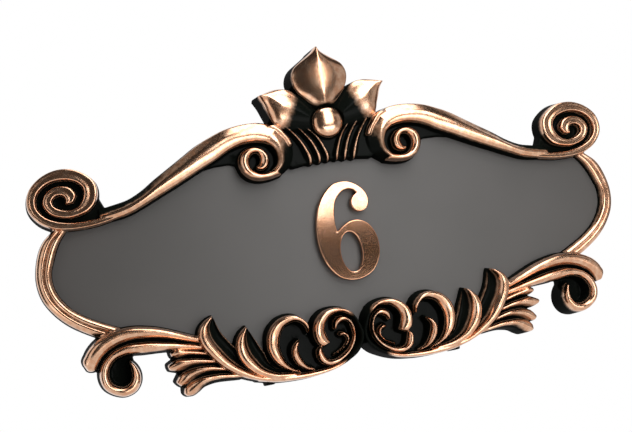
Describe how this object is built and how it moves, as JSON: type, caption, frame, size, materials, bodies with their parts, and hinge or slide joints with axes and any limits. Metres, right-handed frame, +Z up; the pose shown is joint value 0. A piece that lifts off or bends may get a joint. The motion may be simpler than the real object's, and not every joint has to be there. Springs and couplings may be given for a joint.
{
  "type": "house number plaque",
  "caption": "Carved scrollwork surround in antique copper around a flat dark sheet that carries a raised numeral, fixed flat to a wall.",
  "frame": {"origin": "on the wall plane, midway between the two blind stud holes behind the large volutes", "axes": "+X to the viewer's right, +Z up, the front faces -Y and the wall is on the +Y side"},
  "size_m": [0.4122, 0.0266, 0.2226],
  "materials": {
    "antique_copper": "moulded resin, black base with rubbed antique copper on the crests",
    "satin_sheet": "satin dark grey sheet",
    "copper_figure": "polished antique copper plating with a bright bevelled rim",
    "tape": "double-sided foam tape",
    "screw_steel": "zinc plated steel"
  },
  "bodies": {
    "root": {"frame": "antique_copper", "name_panel": "satin_sheet", "numeral_6": "copper_figure", "numeral_tape": "tape", "panel_screws": "screw_steel"}
  },
  "joints": []
}
